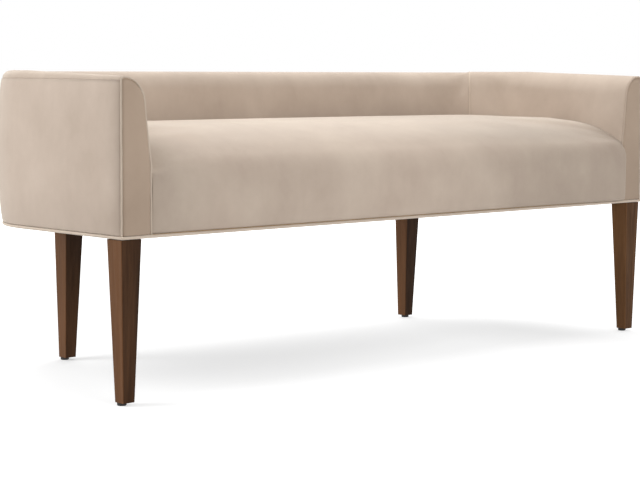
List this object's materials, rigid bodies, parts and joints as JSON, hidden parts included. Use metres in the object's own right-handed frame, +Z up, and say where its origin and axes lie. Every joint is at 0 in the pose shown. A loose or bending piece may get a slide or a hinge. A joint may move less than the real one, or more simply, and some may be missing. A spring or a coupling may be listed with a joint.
{
  "type": "bed bench",
  "caption": "Low upholstered bed bench: a crowned seat inside a padded wall with rounded rear corners, welted seams and square tapered wooden legs.",
  "frame": {"origin": "on the floor under the middle of the bench", "axes": "+Z up, +X along the length to the sitter's left, -Y towards the front of the seat"},
  "size_m": [1.527, 0.5805, 0.6263],
  "materials": {
    "velvet": "short-pile velvet",
    "velvet_trim": "velvet sewn over cord",
    "walnut": "satin stain",
    "glide": "matte",
    "timber": "sawn",
    "hardboard": "smooth",
    "foam": "open-cell foam",
    "webbing": "woven elastic",
    "hessian": "coarse weave",
    "dust_sheet": "bonded cloth",
    "steel": "zinc plated"
  },
  "bodies": {
    "root": {"back_board": "hardboard", "back_foam": "foam", "back_posts": "timber", "back_top_rail": "timber", "base_welt": "velvet_trim", "dust_cover": "dust_sheet", "frame_dowels": "timber", "front_left_glide": "glide", "front_left_leg": "walnut", "front_leg_blocks": "timber", "front_rail": "timber", "front_right_glide": "glide", "front_right_leg": "walnut", "hanger_bolts": "steel", "insert_nuts": "steel", "inside_back_cover": "velvet", "left_arm_foam": "foam", "left_arm_posts": "timber", "left_arm_top_rail": "timber", "left_corner_board": "hardboard", "left_corner_foam": "foam", "left_corner_piping": "velvet_trim", "left_corner_rail": "timber", "left_corner_top_rail": "timber", "left_front_board": "hardboard", "left_front_cover": "velvet", "left_front_piping": "velvet_trim", "left_inside_cover": "velvet", "left_side_board": "hardboard", "left_side_rail": "timber", "outside_cover": "velvet", "rear_left_glide": "glide", "rear_left_leg": "walnut", "rear_leg_blocks": "timber", "rear_rail": "timber", "rear_right_glide": "glide", "rear_right_leg": "walnut", "right_arm_foam": "foam", "right_arm_posts": "timber", "right_arm_top_rail": "timber", "right_corner_board": "hardboard", "right_corner_foam": "foam", "right_corner_piping": "velvet_trim", "right_corner_rail": "timber", "right_corner_top_rail": "timber", "right_front_board": "hardboard", "right_front_cover": "velvet", "right_front_piping": "velvet_trim", "right_inside_cover": "velvet", "right_side_board": "hardboard", "right_side_rail": "timber", "seat_cover": "velvet", "seat_deck": "hessian", "seat_foam": "foam", "seat_stretchers": "timber", "seat_webbing": "webbing"}
  },
  "joints": []
}
